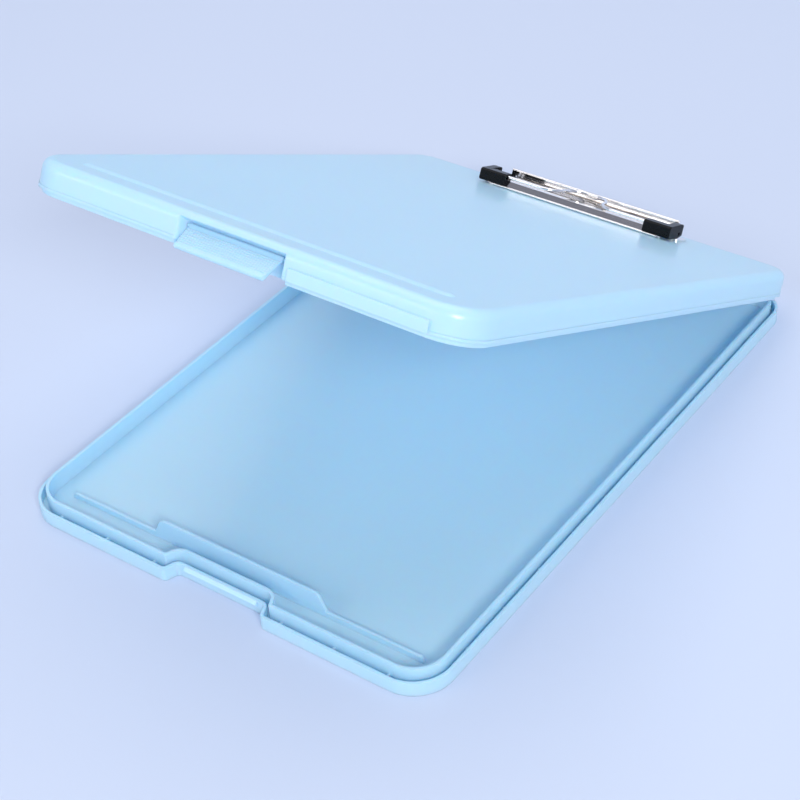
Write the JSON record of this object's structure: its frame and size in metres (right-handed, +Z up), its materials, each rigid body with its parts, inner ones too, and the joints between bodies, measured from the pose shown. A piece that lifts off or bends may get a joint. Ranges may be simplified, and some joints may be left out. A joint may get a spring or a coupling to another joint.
{
  "type": "storage clipboard box",
  "caption": "Flat storage clipboard box: shallow tray, hinged lid that is the writing board, flap latch at the front and a low spring clip near the hinge.",
  "frame": {"origin": "centre of the tray's outline, without the hinge, on the face it rests on", "axes": "+X across the front towards the right-hand side, +Y from the latch to the hinge, +Z up"},
  "size_m": [0.235, 0.3406, 0.1743],
  "materials": {
    "shell_plastic": "satin light blue moulding",
    "pin_steel": "plain steel",
    "clip_plate": "nickel plated sheet steel",
    "clip_wire": "nickel plated spring wire",
    "cap_plastic": "black moulding"
  },
  "bodies": {
    "base": {"base_tray": "shell_plastic", "hinge_pin_left": "pin_steel", "hinge_pin_right": "pin_steel"},
    "lid": {"lid_shell": "shell_plastic", "clip_base_plate": "clip_plate", "clip_rivets": "pin_steel", "clip_pivot_pin_left": "pin_steel", "clip_pivot_pin_right": "pin_steel"},
    "latch": {"latch_flap": "shell_plastic"},
    "jaw": {"clip_jaw": "clip_plate", "clip_end_cap_left": "cap_plastic", "clip_end_cap_right": "cap_plastic"},
    "spring": {"clip_spring_wire": "clip_wire"}
  },
  "joints": [
    {"name": "lid_hinge", "type": "hinge", "parent": "base", "child": "lid", "pos_m": [0, 0.171, 0.0075], "axis": [-1, 0, 0], "range_deg": [-27.8, 92]},
    {"name": "latch_flap_hinge", "type": "hinge", "parent": "lid", "child": "latch", "pos_m": [0, -0.11848, 0.16815], "axis": [-1, 0, 0], "range_deg": [-50, 30]},
    {"name": "clip_jaw_hinge", "type": "hinge", "parent": "lid", "child": "jaw", "pos_m": [0, 0.15377, 0.03592], "axis": [-1, 0, 0], "range_deg": [0, 18], "stiffness_Nm_per_rad": 0.05, "springref_deg": -40.11},
    {"name": "clip_spring_hinge", "type": "hinge", "parent": "lid", "child": "spring", "pos_m": [0, 0.16514, 0.03456], "axis": [-1, 0, 0], "range_deg": [0, 7.4]}
  ],
  "couplings": [
    {"joint": "clip_spring_hinge", "follows": "clip_jaw_hinge", "ratio": 0.4}
  ]
}
